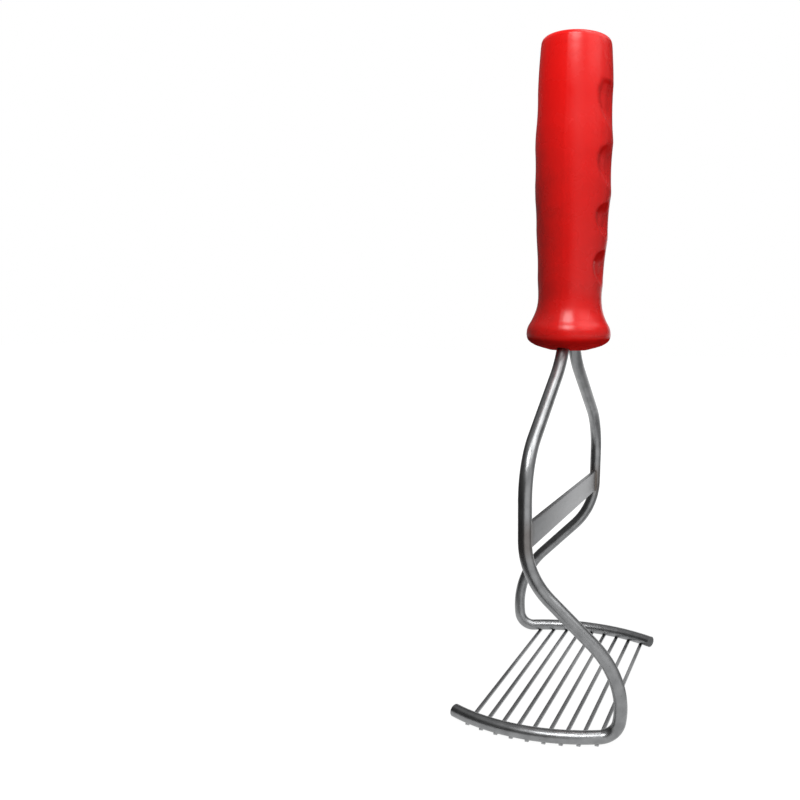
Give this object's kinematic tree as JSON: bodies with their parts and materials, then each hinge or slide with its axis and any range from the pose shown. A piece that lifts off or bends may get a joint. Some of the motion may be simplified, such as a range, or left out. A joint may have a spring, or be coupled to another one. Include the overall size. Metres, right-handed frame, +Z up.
{
  "type": "potato masher",
  "caption": "Hand masher: a moulded upright grip on two bent steel wires that carry a flat rectangular row of crossways bars, with a flat brace across the frame.",
  "frame": {"origin": "on the grip's axis, in the plane of the bars' undersides", "axes": "+Z up along the grip's axis, towards the grip's closed end; +Y along the bars, from the front wire to the rear wire; +X along the row of bars"},
  "size_m": [0.0736, 0.116, 0.2574],
  "materials": {
    "grip_plastic": "moulded polypropylene, satin gloss",
    "frame_steel": "drawn stainless wire, polished",
    "brace_steel": "rolled stainless strip, satin",
    "bar_steel": "rolled stainless strip, satin"
  },
  "bodies": {
    "root": {"handle_grip": "grip_plastic", "front_frame_wire": "frame_steel", "rear_frame_wire": "frame_steel", "cross_brace": "brace_steel", "mashing_bar_1": "bar_steel", "mashing_bar_2": "bar_steel", "mashing_bar_3": "bar_steel", "mashing_bar_4": "bar_steel", "mashing_bar_5": "bar_steel", "mashing_bar_6": "bar_steel", "mashing_bar_7": "bar_steel", "mashing_bar_8": "bar_steel", "mashing_bar_9": "bar_steel"}
  },
  "joints": []
}
